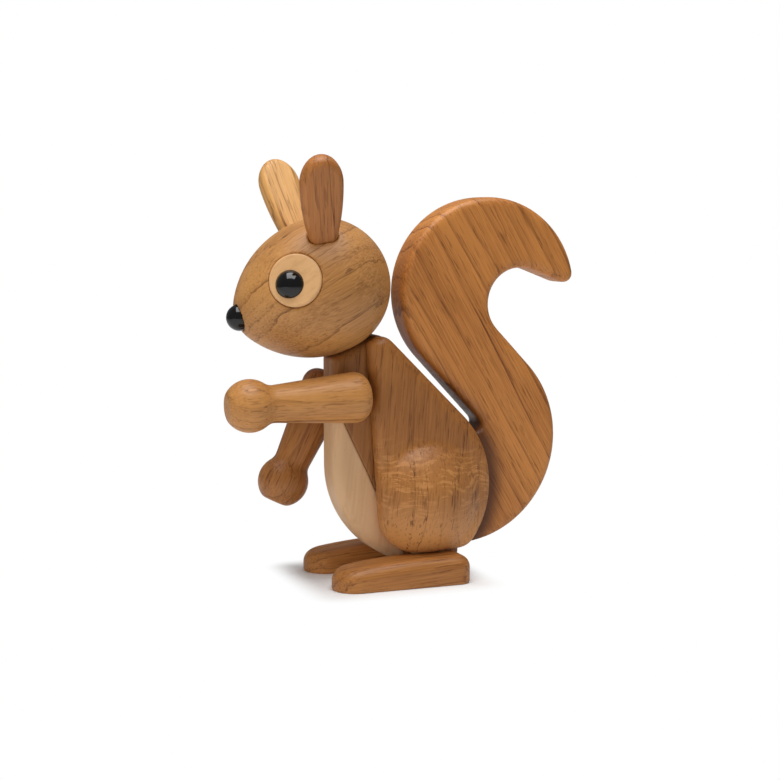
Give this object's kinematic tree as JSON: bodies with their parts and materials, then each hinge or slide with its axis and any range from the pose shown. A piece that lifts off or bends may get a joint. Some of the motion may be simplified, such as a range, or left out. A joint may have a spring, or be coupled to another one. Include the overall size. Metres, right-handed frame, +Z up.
{
  "type": "squirrel figurine",
  "caption": "Wooden squirrel ornament that sits up on flat feet, with a turning head, swinging arms, inlaid eyes and an upright S-shaped tail.",
  "frame": {"origin": "middle of the figure's box at the soles", "axes": "+Z up, -Y the way the squirrel faces, +X its left side"},
  "size_m": [0.0564, 0.1248, 0.1394],
  "materials": {
    "oak": "oiled oak, sanded round at the edges",
    "maple": "pale oiled maple",
    "gloss_black": "polished black",
    "beech_dowel": "plain beech dowel rod, hidden",
    "friction_bush": "dark sleeve, hidden"
  },
  "bodies": {
    "body": {"torso": "oak", "belly": "maple", "left_flank": "oak", "right_flank": "oak", "left_foot": "oak", "right_foot": "oak", "left_foot_dowels": "beech_dowel", "right_foot_dowels": "beech_dowel", "tail": "oak", "tail_dowels": "beech_dowel", "neck_bush": "friction_bush", "left_arm_bush": "friction_bush", "right_arm_bush": "friction_bush"},
    "head": {"head": "oak", "neck_dowel": "beech_dowel", "left_ear": "oak", "right_ear": "oak", "left_ear_dowel": "beech_dowel", "right_ear_dowel": "beech_dowel", "left_eye_disc": "maple", "right_eye_disc": "maple", "left_eye": "gloss_black", "right_eye": "gloss_black", "nose": "gloss_black"},
    "left_arm": {"left_arm": "oak", "left_arm_dowel": "beech_dowel"},
    "right_arm": {"right_arm": "oak", "right_arm_dowel": "beech_dowel"}
  },
  "joints": [
    {"name": "head_turn", "type": "hinge", "parent": "body", "child": "head", "pos_m": [0, -0.01655, 0.0785], "axis": [0, -0.454, 0.891], "range_deg": [-100, 100]},
    {"name": "left_arm_swing", "type": "hinge", "parent": "body", "child": "left_arm", "pos_m": [0.0135, -0.02095, 0.0624], "axis": [1, 0, 0], "range_deg": [-17, 72]},
    {"name": "right_arm_swing", "type": "hinge", "parent": "body", "child": "right_arm", "pos_m": [-0.0135, -0.02095, 0.0624], "axis": [1, 0, 0], "range_deg": [-79, 10]}
  ]
}
